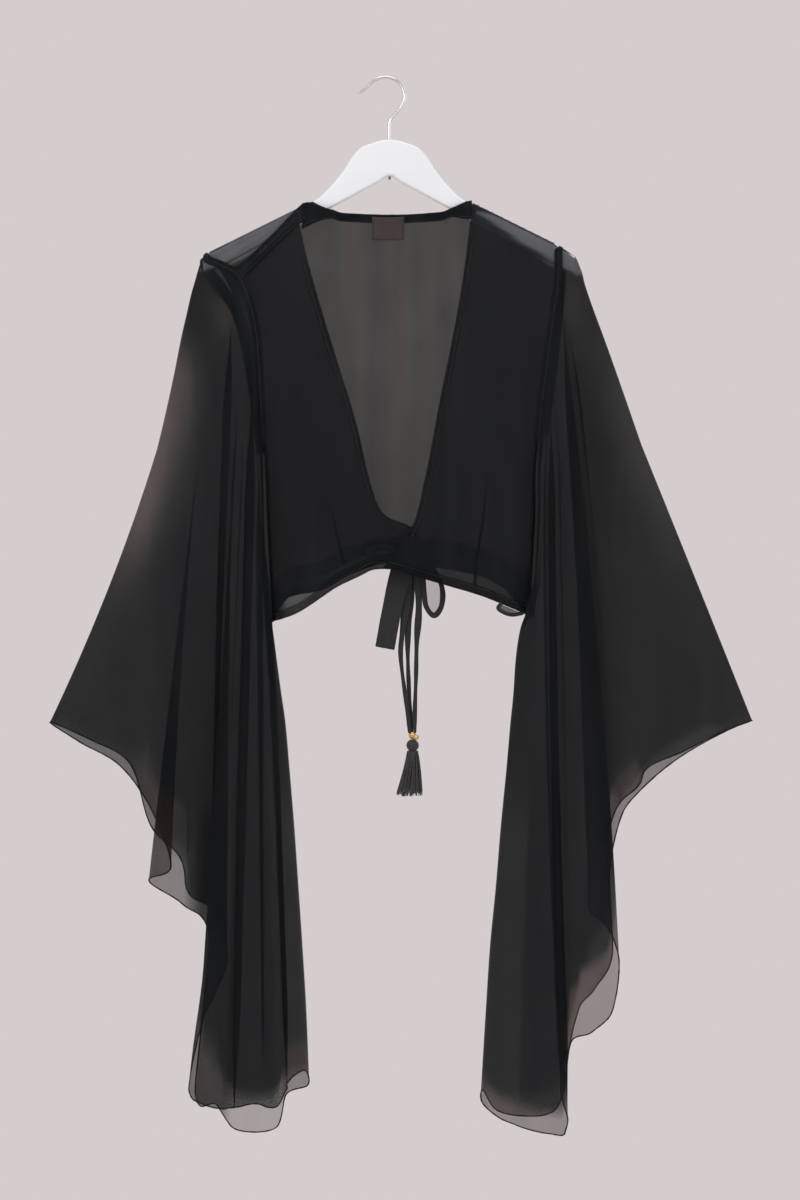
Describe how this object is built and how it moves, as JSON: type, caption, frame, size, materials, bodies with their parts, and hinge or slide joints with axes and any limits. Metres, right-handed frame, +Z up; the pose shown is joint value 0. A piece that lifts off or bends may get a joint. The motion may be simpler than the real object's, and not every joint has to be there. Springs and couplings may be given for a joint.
{
  "type": "wrap top on a hanger",
  "caption": "Cropped sheer wrap top with a deep V front, long bell sleeves and waist ties with a tassel, hung on a curved wooden hanger.",
  "frame": {"origin": "inside crown of the hanger's hook, where a rail or peg carries it", "axes": "+Z up, -Y out of the front of the top, +X to the viewer's right when it is seen from the front"},
  "size_m": [0.8251, 0.0902, 1.2433],
  "materials": {
    "hanger_wood": "white painted wood, satin",
    "hook_metal": "polished chrome wire",
    "chiffon": "sheer black chiffon, matt",
    "seam_cloth": "several layers of black chiffon sewn together, opaque",
    "tie_cloth": "black chiffon folded to a tie, nearly opaque",
    "tassel_thread": "black rayon thread",
    "label_cloth": "plain woven label, blank",
    "bead_gold": "polished gold-coloured metal"
  },
  "bodies": {
    "root": {"hanger_body": "hanger_wood", "hanger_hook": "hook_metal", "hanger_screw": "hook_metal", "back": "chiffon", "front_left": "chiffon", "front_right": "chiffon", "sleeve_left": "chiffon", "sleeve_right": "chiffon", "hem_band_left": "seam_cloth", "hem_band_right": "seam_cloth", "hem_band_back": "seam_cloth", "neckline_edge_left": "seam_cloth", "neckline_edge_right": "seam_cloth", "neck_binding": "seam_cloth", "shoulder_seam_left": "seam_cloth", "shoulder_seam_right": "seam_cloth", "armhole_seam_left_front": "seam_cloth", "armhole_seam_left_back": "seam_cloth", "armhole_seam_right_front": "seam_cloth", "armhole_seam_right_back": "seam_cloth", "label": "label_cloth", "waist_tie": "tie_cloth", "tie_knot": "tie_cloth", "bow_loop_right": "tie_cloth", "bow_loop_left": "tie_cloth", "tie_end": "tie_cloth", "tie_strand_1": "tie_cloth", "tie_strand_2": "tie_cloth", "tie_strand_3": "tie_cloth", "side_loop": "tie_cloth", "bead_1": "bead_gold", "bead_2": "bead_gold", "tassel": "tassel_thread"}
  },
  "joints": []
}
